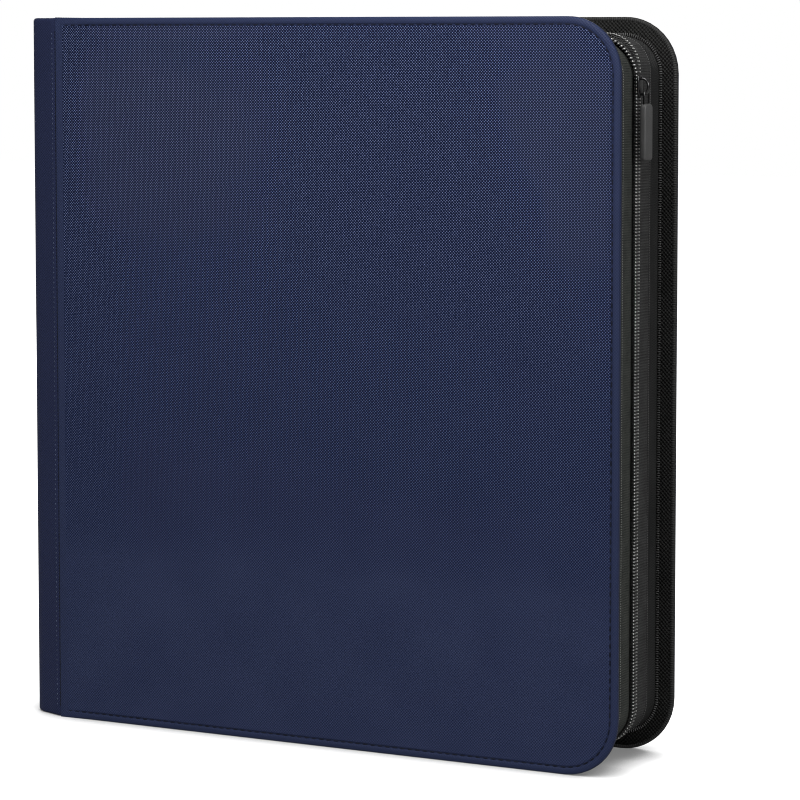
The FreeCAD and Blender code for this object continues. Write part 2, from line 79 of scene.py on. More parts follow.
SPREAD = {  # how far each half of the zip draws back from the middle where it is unzipped
    "front": CHAIN_Y - CHAIN_GAP / 2 - CHAIN_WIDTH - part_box("front_zip_chain")[0].y,
    "rear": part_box("rear_zip_chain")[1].y - CHAIN_Y - CHAIN_GAP / 2 - CHAIN_WIDTH,
}
SIDES = {"front": -1, "rear": 1}

# ---------------------------------------- mesh helpers


def mesh_object(name, points, faces, uvs=None):
    """A new smooth object from points, faces and, if given, one (u, v) for each point, in metres of cloth."""
    mesh = bpy.data.meshes.new(name)
    mesh.from_pydata([tuple(p) for p in points], [], [tuple(int(i) for i in f) for f in faces])
    if uvs is not None:
        layer = mesh.uv_layers.new(name="cloth")
        corners = np.empty(len(mesh.loops), np.int32)
        mesh.loops.foreach_get("vertex_index", corners)
        layer.data.foreach_set("uv", np.asarray(uvs, np.float32)[corners].ravel())
    mesh.polygons.foreach_set("use_smooth", [True] * len(mesh.polygons))
    mesh.update()
    made = bpy.data.objects.new(name, mesh)
    bpy.context.scene.collection.objects.link(made)
    return made


def grid_faces(rows, columns, wrap_rows=False, wrap_columns=False, flip=False):
    """Quads of a rows by columns grid of points."""
    r = np.arange(rows if wrap_rows else rows - 1)
    c = np.arange(columns if wrap_columns else columns - 1)
    r, c = np.meshgrid(r, c, indexing="ij")
    r2, c2 = (r + 1) % rows, (c + 1) % columns
    corners = [r * columns + c, r * columns + c2, r2 * columns + c2, r2 * columns + c]
    quads = np.stack(corners, -1).reshape(-1, 4)
    return quads[:, ::-1] if flip else quads


def grid_object(name, points, uvs, flip=False):
    """A sheet through a rows by columns grid of points."""
    faces = grid_faces(*points.shape[:2], flip=flip)
    return mesh_object(name, points.reshape(-1, 3), faces, uvs.reshape(-1, 2))


def uv_grid(u, v):
    """(u, v) for each point of a grid, from two arrays that broadcast to its shape."""
    return np.stack(np.broadcast_arrays(u, v), -1)


def lengths_along(line):
    """Length along a line of points at each of them, from 0 at the first."""
    steps = np.linalg.norm(np.diff(line, axis=0), axis=1)
    return np.concatenate([[0], np.cumsum(steps)])


def copies(name, template, frames):
    """One mesh of a template's copies. template is (points, faces), frames a list of (origin, 3x3 axes)."""
    shape, faces = template
    origins = np.array([f[0] for f in frames])
    axes = np.array([f[1] for f in frames])
    points = origins[:, None, :] + np.einsum("pk,nkj->npj", shape, axes)
    steps = np.arange(len(frames))[:, None, None] * len(shape)
    all_faces = []
    for count in sorted({len(f) for f in faces}):
        group = np.array([f for f in faces if len(f) == count])
        all_faces += (group[None] + steps).reshape(-1, count).tolist()
    return mesh_object(name, points.reshape(-1, 3), all_faces)


def bead(length, width, height, sides=6):
    """A long rounded bead along its own X, lying on its XY plane: the shape of one stitch."""
    rings = ((-0.5, 0.35), (-0.32, 1.0), (0.32, 1.0), (0.5, 0.35))  # share of the length, share of the width
    points, faces = [], []
    for share, swell in rings:
        for k in range(sides):
            angle = 2 * math.pi * k / sides
            across, up = width / 2 * swell * math.cos(angle), height * swell * math.sin(angle)
            points.append((length * share, across, up))
    faces += grid_faces(len(rings), sides, wrap_columns=True).tolist()
    faces += [list(range(sides)), list(range(len(points) - 1, len(points) - sides - 1, -1))]
    return np.array(points), faces


def tube_object(name, path, radius, sides=8, closed=False, flat=1.0):
    """A tube along a path of points. flat scales its section along the section's second axis."""
    path = np.asarray(path, float)
    ahead = np.roll(path, -1, 0) - path if closed else np.gradient(path, axis=0)
    behind = path - np.roll(path, 1, 0) if closed else ahead
    along = ahead + behind
    along /= np.linalg.norm(along, axis=1)[:, None]
    reference = np.cross(along[0], (0.13, 0.98, 0.11))
    turn = 2 * math.pi * np.arange(sides)[:, None] / sides
    sections = []
    normal = reference / np.linalg.norm(reference)
    for k in range(len(path)):
        normal = normal - along[k] * (normal @ along[k])
        normal /= np.linalg.norm(normal)
        side = np.cross(along[k], normal)
        sections.append(path[k] + radius * (np.cos(turn) * normal + flat * np.sin(turn) * side))
    points = np.array(sections)
    faces = grid_faces(len(path), sides, wrap_rows=closed, wrap_columns=True).tolist()
    if not closed:
        faces += [list(range(sides))[::-1], list(range((len(path) - 1) * sides, len(path) * sides))]
    return mesh_object(name, points.reshape(-1, 3), faces)


# ---------------------------------------- the rim: the covers' three free sides

MITRE_CLEAR = 12 * MM  # length beside a closed rim's square corners that has no station


class Rim:
    """Evenly spaced stations round the three free sides, at one inset from the covers' edge.

    feet and outs are (x, z) points and outward directions, and run is the length along the path from its
    lower spine end. closed adds the spine side, with its two square corners mitred and no station near them.
    """

    def __init__(self, inset=0.0, spacing=4 * MM, start=HINGE_X, closed=False):
        radius = CORNER - inset
        right, low, high = EDGE_X - inset, inset, HEIGHT - inset
        feet, outs = [], []

        def straight(a, b, out):
            count = max(2, round(math.dist(a, b) / spacing) + 1)
            for k in range(count):
                share = k / (count - 1)
                feet.append((a[0] + (b[0] - a[0]) * share, a[1] + (b[1] - a[1]) * share))
                outs.append(out)

        def quarter(centre, first):
            count = max(8, round(radius * math.pi / 2 / spacing))
            for k in range(1, count):
                angle = first + math.pi / 2 * k / count
                feet.append((centre[0] + radius * math.cos(angle), centre[1] + radius * math.sin(angle)))
                outs.append((math.cos(angle), math.sin(angle)))

        straight((start, low), (right - radius, low), (0, -1))
        quarter((right - radius, low + radius), -math.pi / 2)
        straight((right, low + radius), (right, high - radius), (1, 0))
        quarter((right - radius, high - radius), 0.0)
        straight((right - radius, high), (start, high), (0, 1))
        if closed:
            outs[0], outs[-1] = (-1, -1), (-1, 1)
            corner = len(feet)
            straight((start, high), (start, low), (-1, 0))
            del feet[-1], outs[-1], feet[corner], outs[corner]
        self.feet, self.outs = np.array(feet), np.array(outs, float)
        if closed:
            ends = [(start, low), (start, high)]
            away = [min(math.dist(foot, end) for end in ends) for foot in feet]
            kept = [k for k in range(len(feet)) if away[k] < MM / 100 or away[k] > MITRE_CLEAR]
            self.feet, self.outs = self.feet[kept], self.outs[kept]
        self.run = lengths_along(self.feet)

    def points(self, outward, y):
        """World points at heights outward off the path, at depths y. Both may be one number per station."""
        flat = self.feet + self.outs * np.reshape(outward, (-1, 1))
        return np.stack([flat[:, 0], np.broadcast_to(y, len(flat)), flat[:, 1]], 1)

    def at(self, marks, values):
        """Values given one row per station, read at lengths along the path."""
        return np.stack([np.interp(marks, self.run, column) for column in values.T], -1)

    def frames_at(self, spacing, y, up):
        """Frames spaced evenly along the path at one depth: X along it, Z along up, for copies()."""
        marks = np.arange(spacing / 2, self.run[-1], spacing)
        spots, reach = self.points(0.0, y), MM / 5
        centre = self.at(marks, spots)
        ahead, behind = self.at(marks + reach, spots), self.at(marks - reach, spots)
        frames = []
        for k in range(len(marks)):
            along = ahead[k] - behind[k]
            along /= np.linalg.norm(along)
            side = np.cross(up, along)
            frames.append((centre[k], np.array([along, side, np.array(up, float)])))
        return frames


# ---------------------------------------- materials


class Material:
    """Shorthand for one material's node tree. Lengths in patterns are in metres of cloth."""

    def __init__(self, name, color, roughness, **sockets):
        self.material = bpy.data.materials.new(name)
        self.material.use_nodes = True
        self.tree = self.material.node_tree
        self.shader = self.tree.nodes["Principled BSDF"]
        self.shader.inputs["Base Color"].default_value = (*color, 1)
        self.shader.inputs["Roughness"].default_value = roughness
        for socket, value in sockets.items():
            self.shader.inputs[socket.replace("_", " ")].default_value = value

    def node(self, kind, *inputs, **settings):
        """A new node. Each input is a number, a tuple or another node's output, in the sockets' order."""
        made = self.tree.nodes.new("ShaderNode" + kind)
        for key, value in settings.items():
            setattr(made, key, value)
        for socket, value in zip(made.inputs, inputs):
            self.set(socket, value)
        return made

    def set(self, socket, value):
        """Links an output to a socket or sets its number. None leaves it as it is."""
        if isinstance(value, bpy.types.NodeSocket):
            self.tree.links.new(value, socket)
        elif value is not None:
            socket.default_value = value

    def math(self, operation, a, b=None, c=None):
        """Output of one Math node."""
        return self.node("Math", a, b, c, operation=operation).outputs[0]

    def place(self, kind):
        """The cloth's own coordinates ("UV") or the object's ("Object"): one output, and its x, y and z."""
        place = self.tree.nodes.new("ShaderNodeTexCoord").outputs[kind]
        return place, self.node("SeparateXYZ", place).outputs

    def wave(self, value, period, shift=0.0):
        """sin(2 pi value / period + shift)."""
        return self.math("SINE", self.math("MULTIPLY_ADD", value, 2 * math.pi / period, shift))

    def noise(self, place, size, detail=2.0):
        """Noise from 0 to 1 whose largest patches are about size across."""
        made = self.tree.nodes.new("ShaderNodeTexNoise")
        self.tree.links.new(place, made.inputs["Vector"])
        made.inputs["Scale"].default_value = 1 / size
        made.inputs["Detail"].default_value = detail
        return made.outputs["Fac"]

    def ramp(self, value, low, high, dark, light):
        """A colour from dark to light as value goes from low to high."""
        made = self.node("ValToRGB", value)
        made.color_ramp.elements[0].position = low
        made.color_ramp.elements[1].position = high
        made.color_ramp.elements[0].color = (*dark, 1)
        made.color_ramp.elements[1].color = (*light, 1)
        return made.outputs["Color"]

    def color(self, output):
        self.tree.links.new(output, self.shader.inputs["Base Color"])

    def roughness(self, value, low, high, smooth, rough):
        """Roughness from smooth to rough as value goes from low to high."""
        made = self.node("MapRange", value, low, high, smooth, rough)
        self.tree.links.new(made.outputs[0], self.shader.inputs["Roughness"])

    def bump(self, height, distance):
        """Shades the surface as if height, from 0 to 1, rose by distance."""
        made = self.tree.nodes.new("ShaderNodeBump")
        made.inputs["Distance"].default_value = distance
        made.inputs["Strength"].default_value = 1.0
        self.tree.links.new(height, made.inputs["Height"])
        self.tree.links.new(made.outputs["Normal"], self.shader.inputs["Normal"])


PAINTED_HIGHLIGHT_FOOT_SHARE = 0.06  # share of the crowns' contrast left at the foot of a cloth whose painted highlight fades downwards
PAINTED_HIGHLIGHT_BIAS = 0.3  # how far crowns with a painted highlight are shifted to dark, so only their tops shine


def woven(name, dark, light, period, relief, roughness, speckle=0.3, cloud=0.12, crown=0.5, painted_highlight_heights=None,
          span=(0.1, 0.95), **sockets):
    """Plain-woven cloth: threads cross over and under, so the surface is a checker of small crowns.

    speckle, cloud and crown are the strengths of the fibres, of the broad patches and of the crowns in the
    tone, and span is where the tone's ramp from dark to light starts and ends. The painted highlight, the
    argument after crown, is two heights up the cloth: below the first the cloth is nearly flat in tone, above
    the second its crowns are bright with the painted highlight of light from above.
    """
    m = Material(name, light, roughness, **sockets)
    place, (across, up, _) = m.place("UV")
    wander = m.math("MULTIPLY", m.noise(place, 9 * MM, detail=1.0), 0.5 * period)
    crowns = m.math("MULTIPLY", m.wave(m.math("ADD", across, wander), period), m.wave(up, period))
    fibres = m.noise(place, period / 3, detail=2.0)
    clouds = m.noise(place, 35 * MM, detail=3.0)
    # painted highlight: the crowns' contrast grows from the foot of the cloth to its top, as light from above
    # would make it
    if painted_highlight_heights:
        strength = m.node("MapRange", up, *painted_highlight_heights, crown * PAINTED_HIGHLIGHT_FOOT_SHARE, crown).outputs[0]
        tone = m.math("MULTIPLY_ADD", m.math("SUBTRACT", crowns, PAINTED_HIGHLIGHT_BIAS), strength, 0.5)
        crowns = m.math("MULTIPLY", crowns, strength)
    else:
        tone = m.math("MULTIPLY_ADD", crowns, crown, 0.5)
    tone = m.math("MULTIPLY_ADD", m.math("SUBTRACT", fibres, 0.5), speckle, tone)
    tone = m.math("MULTIPLY_ADD", m.math("SUBTRACT", clouds, 0.5), cloud, tone)
    m.color(m.ramp(tone, *span, dark, light))
    m.roughness(tone, 0.0, 1.0, min(1.0, roughness + 0.15), roughness - 0.1)
    m.bump(m.math("MULTIPLY_ADD", fibres, 0.4, crowns), relief)
    return m.material


def ribbed(name, dark, light, along, across, relief, roughness, speckle=1.0, **sockets):
    """Cloth with ribs square to its length, such as zip tape or edge binding. along and across are the
    pitches of its ribs and of the rows that cross them."""
    m = Material(name, light, roughness, **sockets)
    place, (x, y, _) = m.place("UV")
    weave = m.math("MULTIPLY", m.math("MULTIPLY_ADD", m.wave(y, across), 0.45, m.wave(x, along)), 0.6)
    fibres = m.math("SUBTRACT", m.noise(place, along / 2, detail=2.0), 0.5)
    patches = m.math("SUBTRACT", m.noise(place, 6 * MM, detail=2.0), 0.5)
    height = m.math("MULTIPLY_ADD", fibres, 2.2 * speckle, weave)
    height = m.math("MULTIPLY_ADD", patches, 1.2 * speckle, height)
    m.color(m.ramp(m.math("MULTIPLY_ADD", height, 0.26, 0.5), 0.05, 0.95, dark, light))
    m.bump(height, relief)
    return m.material


def plain(name, color, roughness, grain=0.4 * MM, relief=0.01 * MM, vary=0.15, **sockets):
    """A moulded, painted or metal surface with a fine grain and slight changes of tone."""
    m = Material(name, color, roughness, **sockets)
    place, _ = m.place("Object")
    tone = m.noise(place, 12 * MM, detail=3.0)
    m.color(m.ramp(tone, 0.3, 0.7, [c * (1 - vary) for c in color], [c * (1 + vary) for c in color]))
    fine = m.noise(place, grain, detail=2.0)
    m.roughness(fine, 0.3, 0.7, roughness * 0.85, roughness * 1.2)
    m.bump(fine, relief)
    return m.material


# the navy cloth carries a painted highlight: its crowns shine brighter towards the top of the cover
CLOTH = woven("navy_weave", (0.0012, 0.0062, 0.034), (0.165, 0.2, 0.37), 1.4 * MM, 0.35 * MM, 0.5,
              speckle=0.12, cloud=0.04, crown=0.92, painted_highlight_heights=(0.08, 0.3), span=(0.42, 1.0),
              Specular_IOR_Level=0.14)
MARGIN = woven("navy_pressed", (0.013, 0.020, 0.056), (0.024, 0.033, 0.080), 1.4 * MM, 0.05 * MM, 0.5,
               speckle=0.5, Specular_IOR_Level=0.14)
SPINE = woven("navy_spine", (0.011, 0.016, 0.048), (0.023, 0.030, 0.078), 1.4 * MM, 0.06 * MM, 0.6,
              speckle=0.4, Specular_IOR_Level=0.12)
HINGE_THREAD = plain("hinge_thread", (0.055, 0.07, 0.12), 0.6, vary=0.3, Specular_IOR_Level=0.2)
NAVY_THREAD = plain("navy_thread", (0.003, 0.005, 0.016), 0.6, vary=0.25, Specular_IOR_Level=0.2)
LINING = woven("black_weave", (0.0003, 0.0003, 0.0003), (0.027, 0.027, 0.026), 1.9 * MM, 0.5 * MM, 0.55,
               speckle=1.0, cloud=0.5, crown=0.42, Specular_IOR_Level=0.12)
GUSSET = woven("gusset_weave", (0.008, 0.0085, 0.0085), (0.040, 0.040, 0.040), 1.2 * MM, 0.12 * MM, 0.7,
               speckle=1.6, cloud=0.8, crown=0.2, Specular_IOR_Level=0.15)
FRONT_TAPE = ribbed("front_tape", (0.010, 0.013, 0.012), (0.074, 0.077, 0.070), 1.13 * MM, 1.2 * MM,
                    0.1 * MM, 0.75, speckle=1.7, Specular_IOR_Level=0.15)
REAR_TAPE = ribbed("rear_tape", (0.010, 0.010, 0.010), (0.070, 0.070, 0.070), 1.3 * MM, 1.2 * MM,
                   0.1 * MM, 0.75, speckle=1.7, Specular_IOR_Level=0.15)
BINDING_RIB = 1.08 * MM  # pitch of the ribs of the bound edge, and of the bars beside it
BINDING = ribbed("edge_binding", (0.0025, 0.0025, 0.0025), (0.062, 0.062, 0.061), BINDING_RIB,
                 2 * BINDING_RIB, 0.25 * MM, 0.55, speckle=0.35, Specular_IOR_Level=0.15)
COIL = plain("coil_nylon", (0.012, 0.012, 0.012), 0.3, vary=0.2, Specular_IOR_Level=0.5)
# one thread on both coils; the rear coil's copy is painted darker, a painted shade on the rear row
COIL_THREAD_WITH_SHADED_REAR = {
    "front": plain("front_coil_thread", (0.66, 0.66, 0.65), 0.5, vary=0.3),
    "rear": plain("rear_coil_thread_painted_shade", (0.36, 0.36, 0.35), 0.5, vary=0.4),
}
TOOTH_THREAD = plain("tooth_thread", (0.14, 0.14, 0.135), 0.5, vary=0.4)
SEAM_THREAD = plain("seam_thread", (0.20, 0.21, 0.20), 0.5, vary=0.3)
RIB_THREAD = plain("rib_thread", (0.085, 0.085, 0.085), 0.5, vary=0.4)
ENAMEL = plain("black_enamel", (0.004, 0.004, 0.0045), 0.22, relief=0.004 * MM, Coat_Weight=0.5)
TAB_RUBBER = plain("tab_rubber", (0.068, 0.068, 0.068), 0.45, grain=0.3 * MM, relief=0.012 * MM)
CHROME = plain("nickel_plate", (0.72, 0.72, 0.73), 0.14, vary=0.04, relief=0.002 * MM, Metallic=1.0)
STEEL = plain("rail_steel", (0.5, 0.5, 0.51), 0.35, vary=0.08, relief=0.004 * MM, Metallic=1.0)
BOARD = plain("book_board", (0.014, 0.016, 0.022), 0.85, grain=0.8 * MM, relief=0.05 * MM)
LEAF_CORE = plain("leaf_core", (0.012, 0.012, 0.013), 0.5, vary=0.1)
POCKET_FILM = plain("pocket_film", (0.022, 0.023, 0.026), 0.12, grain=4 * MM, relief=0.05 * MM,
                    Coat_Weight=0.6)


def place_piece(made, material, body, replaced=()):
    """Gives a piece its material, the body that it rides on and the CAD nodes it stands for."""
    made.data.materials.append(material)
    if body:
        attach(made, body)
    if replaced:
        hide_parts(*replaced)
    return made


def thicken(made, thickness, offset=-1.0):
    """Gives a sheet its real thickness: under it for an offset of -1, half on each side for 0."""
    modifier = made.modifiers.new("thickness", "SOLIDIFY")
    modifier.thickness, modifier.offset = thickness, offset
    return made


def soften(made, bevel, segments):
    """Rounds an object's sharp edges."""
    rounding = made.modifiers.new("edges", "BEVEL")
    rounding.width, rounding.segments, rounding.limit_method = bevel, segments, "ANGLE"
    return made


# ---------------------------------------- covers

STITCH_INSET = 3.5 * MM
STITCH_PITCH = 3.9 * MM
STITCH = {"length": STITCH_PITCH * 0.64, "width": 0.72 * MM, "height": 0.3 * MM}
STITCH_SUNK = 0.25 * MM
FACE_INSET, PRESS_INSET = 9 * MM, 4.6 * MM  # where the flat face and its pressed margin begin
GROOVE, GROOVE_HALF = 0.4 * MM, 0.8 * MM  # depth and half width of the groove that the stitching sinks
PRESSED_FROM = 4  # the profile's step at which the woven face gives way to the pressed margin
CLOTH_WRAP = {"front": 2.3 * MM, "rear": 1.3 * MM}  # how far down the edge the navy cloth reaches


def cover_profile(groove, wrap, edge_round=1.25 * MM, beyond=0.0):
    """(inset from the edge, depth below the face) points, from the flat face over the stitched margin to
    the edge's side. groove is the groove's depth, and beyond how far the cloth passes the edge."""
    line = [(FACE_INSET, 0.0), (PRESS_INSET, 0.0)]
    for step in np.linspace(-1, 1, 9):
        line.append((STITCH_INSET - step * GROOVE_HALF, groove * math.cos(step * math.pi / 2) ** 2))
    line += [(1.9 * MM, -0.25 * groove), (1.5 * MM, -0.15 * groove)]  # the margin swells beside the groove
    for step in range(7):
        angle = math.pi / 2 * step / 6
        line.append((edge_round * (1 - math.sin(angle)) - beyond, edge_round * (1 - math.cos(angle))))
    line.append((-beyond, wrap))
    line.append((0.5 * MM, wrap + 0.25 * MM))
    return line


def ring_with_middle(rows, columns, inner, flip):
    """Faces of a closed band of rows by columns points, and the one that fills it inside column inner."""
    faces = grid_faces(rows, columns, wrap_rows=True, flip=flip).tolist()
    middle = [k * columns + inner for k in range(rows)]
    return faces + [middle if flip == (inner > 0) else middle[::-1]]


def cover_cloth(side):
    """Navy outer cloth of one cover, from the flat face over its rolled edge."""
    sign = SIDES[side]
    rim = Rim(closed=True)
    on_spine_side = rim.outs[:, 0] < -0.5
    wrap = CLOTH_WRAP[side]
    stitched = np.array(cover_profile(GROOVE, wrap))
    flat = np.array(cover_profile(0.0, wrap, edge_round=0.6 * MM, beyond=0.25 * MM))
    profile = np.where(on_spine_side[:, None, None], flat[None], stitched[None])
    inset, depth = profile[..., 0], profile[..., 1]
    feet = rim.feet[:, None, :] - rim.outs[:, None, :] * inset[..., None]
    points = np.stack([feet[..., 0], sign * (FACE_Y - depth), feet[..., 1]], -1)
    steps = np.hypot(np.diff(inset, axis=1), np.diff(depth, axis=1))
    unrolled = np.concatenate([np.zeros((len(steps), 1)), np.cumsum(steps, axis=1)], 1)
    start = rim.feet - rim.outs * inset[:, :1]
    uvs = start[:, None, :] + rim.outs[:, None, :] * unrolled[..., None]
    rows, columns = inset.shape
    faces = ring_with_middle(rows, columns, 0, flip=sign < 0)
    made = mesh_object(side + "_cloth", points.reshape(-1, 3), faces, uvs.reshape(-1, 2))
    place_piece(made, CLOTH, side + "_cover", [side + "_skin"])
    made.data.materials.append(MARGIN)
    for k in range(rows * (columns - 1)):
        made.data.polygons[k].material_index = int(k % (columns - 1) >= PRESSED_FROM)
    return made


def cover_binding(side):
    """Ribbed tape bound over the inner corner of one cover's three free edges."""
    sign = SIDES[side]
    rim = Rim(spacing=2 * MM)
    wrap = CLOTH_WRAP[side]
    line = [(0.4 * MM, wrap - 0.1 * MM), (0.0, wrap + 0.1 * MM)]
    corner, proud = 0.6 * MM, 0.08 * MM  # its folded corner's radius, and how far it stands off the lining
    for step in range(6):
        angle = math.pi / 2 * step / 5
        line.append((corner * (1 - math.cos(angle)), THICK + proud - corner * (1 - math.sin(angle))))
    line += [(1.4 * MM, THICK + proud), (1.7 * MM, THICK), (1.8 * MM, THICK - 0.1 * MM)]
    points = np.stack([rim.points(-inset, sign * (FACE_Y - depth)) for inset, depth in line], 1)
    uvs = uv_grid(rim.run[:, None], lengths_along(line))
    made = grid_object(side + "_binding_tape", points, uvs, flip=sign > 0)
    return place_piece(made, BINDING, side + "_cover", [side + "_binding"])


def cover_lining(side):
    """Black woven lining over the whole inside of one cover, its edge tucked under the binding."""
    sign = SIDES[side]
    rim = Rim(inset=1.2 * MM, closed=True)
    line = ((0.0, THICK - 0.5 * MM), (0.0, THICK), (8 * MM, THICK))
    points = np.stack([rim.points(-inset, sign * (FACE_Y - depth)) for inset, depth in line], 1)
    faces = ring_with_middle(len(points), len(line), len(line) - 1, flip=sign > 0)
    flat = points.reshape(-1, 3)
    made = mesh_object(side + "_lining_cloth", flat, faces, flat[:, [0, 2]])
    return place_piece(made, LINING, side + "_cover", [side + "_lining"])


def cover_stitches(side):
    """Thread of the margin's stitching, sunk in its groove."""
    sign = SIDES[side]
    rim = Rim(inset=STITCH_INSET, spacing=2 * MM, start=HINGE_X + STITCH_INSET)
    places = rim.frames_at(STITCH_PITCH, sign * (FACE_Y - STITCH_SUNK), up=(0, sign, 0))
    made = copies(side + "_stitches", bead(**STITCH), places)
    return place_piece(made, NAVY_THREAD, side + "_cover")


for side_name in SIDES:
    cover_cloth(side_name)
    cover_binding(side_name)
    cover_lining(side_name)
    cover_stitches(side_name)

# ---------------------------------------- spine

BEND = 12 * MM  # radius of the padded corner
SLOPE = math.radians(20)  # slope of the cloth that runs on from the corner to the hinge seam
HEM = 12 * MM  # height of each of the spine cloth's two hems
SEAM_SINK, SEAM_REACH = 1.5 * MM, 2.5 * MM  # depth of the dip at the hinge seam, and where it starts
ROW_MARGIN = 6 * MM
HINGE_ROWS = {  # each row's distance before the hinge seam, depth below the cloth, pitch and stitch size
    "fine": {"back": 2.6 * MM, "depth": 0.0, "pitch": 2.4 * MM, "length": 0.9 * MM, "width": 0.5 * MM},
    "seam": {"back": 0.4 * MM, "depth": 0.3 * MM, "pitch": 1.9 * MM, "length": 1.6 * MM, "width": 0.9 * MM},
}


def spine_plan(depth, reach=0.0):
    """Plan line of the front half of the spine at one depth below its outer face: (x, y) points from the
    spine's middle round the padded corner to reach past the hinge seam, and their outward normals."""
    centre = (SPINE_X + BEND, -SPINE_HALF_Y)
    line, normals = [], []
    for share in np.linspace(0, 1, 7)[:-1]:
        line.append((SPINE_X + depth, -SPINE_HALF_Y * share))
        normals.append((-1, 0))
    for share in np.linspace(0, 1, 11):
        angle = math.pi + (math.pi / 2 - SLOPE) * share
        out = (math.cos(angle), math.sin(angle))
        line.append((centre[0] + (BEND - depth) * out[0], centre[1] + (BEND - depth) * out[1]))
        normals.append(out)
    last, out = line[-1], normals[-1]
    run = (HINGE_X + reach - last[0]) / math.cos(SLOPE)
    for share in np.linspace(0, 1, 7)[1:]:
        line.append((last[0] + run * share * math.cos(SLOPE), last[1] - run * share * math.sin(SLOPE)))
        normals.append(out)
    return np.array(line), np.array(normals)


def spine_profile():
    """(z, depth) points of the spine cloth, from its turned-in lower hem over the face to its upper hem."""
    lower = [(7 * MM, THICK)]
    for step in range(9):
        angle = math.pi * step / 8
        lower.append((THICK / 2 * (1 - math.sin(angle)), THICK / 2 * (1 + math.cos(angle))))
    lower += [(3 * MM, 0.0), (5.2 * MM, 0.0)]
    middle = [(z, 0.0) for z in np.linspace(HEM, HEIGHT - HEM, 24)]
    upper = [(HEIGHT - z, depth) for z, depth in reversed(lower)]
    return lower + middle + upper


def at_height(line, sign, z):
    """World points of a plan line, turned to one side of the spine, at height z."""
    return np.stack([line[:, 0], -sign * line[:, 1], np.full(len(line), z)], 1)


def spine_cloth(side):
    """Half of the spine's cloth and its padded corner, reaching just past the hinge seam."""
    sign = SIDES[side]
    reach = 1 * MM
    line, normals = spine_plan(0.0, reach)
    profile = spine_profile()
    into_seam = (line[:, 0] - (HINGE_X - SEAM_REACH)) / (SEAM_REACH + reach)
    seam = np.clip(into_seam, 0, 1) ** 2 * SEAM_SINK
    rows = [at_height(line - normals * (depth + seam)[:, None], sign, z) for z, depth in profile]
    uvs = uv_grid(lengths_along(line), lengths_along(profile)[:, None])
    made = grid_object(side + "_spine_cloth", np.array(rows), uvs, flip=sign > 0)
    nodes = [side + "_hinge_skin", side + "_hinge_pad"] + (["spine_skin"] if sign < 0 else [])
    place_piece(made, SPINE, None, nodes)
    return bend_with_cover(made)


def bend_with_cover(made):
    """Bakes a piece's placement into its mesh."""
    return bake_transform(made)


def spine_lining(side):
    """Half of the spine's inner lining."""
    sign = SIDES[side]
    line, _ = spine_plan(THICK, reach=2 * MM)
    levels = np.linspace(5 * MM, HEIGHT - 5 * MM, 24)
    points = np.array([at_height(line, sign, z) for z in levels])
    uvs = uv_grid(lengths_along(line), levels[:, None])
    made = thicken(grid_object(side + "_spine_lining", points, uvs, flip=sign < 0), 0.4 * MM, 0.0)
    nodes = [side + "_hinge_lining"] + (["spine_lining"] if sign < 0 else [])
    place_piece(made, LINING, None, nodes)
    return bend_with_cover(made)


def hinge_stitches(side, row, thread):
    """One row of stitches down the spine cloth: the fine pale one, or the dark one in the hinge seam."""
    sign = SIDES[side]
    size = HINGE_ROWS[row]
    line, normals = spine_plan(size["depth"])
    x = HINGE_X - size["back"]
    y = -sign * float(np.interp(x, line[:, 0], line[:, 1]))
    up = np.array([normals[-1][0], -sign * normals[-1][1], 0.0])
    axes = np.array([(0, 0, 1), np.cross(up, (0, 0, 1)), up], float)
    marks = np.arange(ROW_MARGIN, HEIGHT - ROW_MARGIN, size["pitch"])
    template = bead(size["length"], size["width"], 0.2 * MM)
    made = copies(f"{side}_{row}_hinge_stitches", template, [((x, y, z), axes) for z in marks])
    place_piece(made, thread, None)
    return bend_with_cover(made)


for side_name in SIDES:
    spine_cloth(side_name)
    spine_lining(side_name)
    hinge_stitches(side_name, "fine", HINGE_THREAD)
    hinge_stitches(side_name, "seam", NAVY_THREAD)

# ---------------------------------------- zip

WALL_SPACING = 2.5 * MM
TAPE_LAP = 0.6 * MM  # how far past the seam the tape's edge lies
LIP = 3.6 * MM  # from the coil's middle to where the tape's raised part ends
DENT = {  # the crease in the rear wall at the upper corner: its place and spread, as shares and in metres
    "across": 0.4, "spread": 0.3, "unzipped": 0.5, "length": 6 * MM, "depth": 5.5 * MM,
}
COIL_PITCH = 1.5 * MM
COIL_WIRE = 0.33 * MM
COIL_WIDTH = 2.9 * MM
COIL_OVERLAP = 0.4 * MM  # how far each coil's heads pass the middle of the zip
COIL_STEPS = 10
COIL_ROWS = {  # the rows of thread on a coil: place across it, as a share of its width, and stitch width
    "outer": {"across": 0.3, "width": 0.62 * MM},
    "inner": {"across": -0.2, "width": 0.5 * MM},
}
SEAM_PITCH = 1.1 * MM
SEAM_ROW = {"front": 1.7 * MM, "rear": 0.5 * MM}  # from the seam's stitches to the seam, on the cover's side


def wall_rim(inset=FLANGE, spacing=WALL_SPACING):
    """The rim along the cloth wall, from where the zip starts."""
    return Rim(inset, spacing, start=ZIP_START_X)


def unzipped(rim):
    """How far the zip is open at each station, from 0 below the slider to 1 past the upper corner."""
    corner = math.pi / 2 * (CORNER - FLANGE)
    top_run = WALL_X - (CORNER - FLANGE) - ZIP_START_X
    return np.clip((rim.run - (rim.run[-1] - top_run - corner)) / corner, 0, 1)


def seam_level(side, share):
    """Where the seam between gusset and tape runs, for a share unzipped."""
    sign = SIDES[side]
    return (FRONT_SEAM_Y if sign < 0 else REAR_SEAM_Y) + sign * SPREAD[side] / 2 * share


def ripples(rim, per_metre, row, cover):
    """Smooth noise along a wall: the slack of its cloth. row and cover are places in the noise."""
    return np.array([noise.noise(Vector((run * per_metre, row, cover))) for run in rim.run])


def strip(name, rim, columns, flip):
    """A swept strip. columns is a list of (height off the wall, y), each one number or one per station."""
    points = np.stack([rim.points(height, y) for height, y in columns], 1)
    across = np.array([lengths_along(row) for row in points])
    return grid_object(name, points, uv_grid(rim.run[:, None], across), flip=flip)


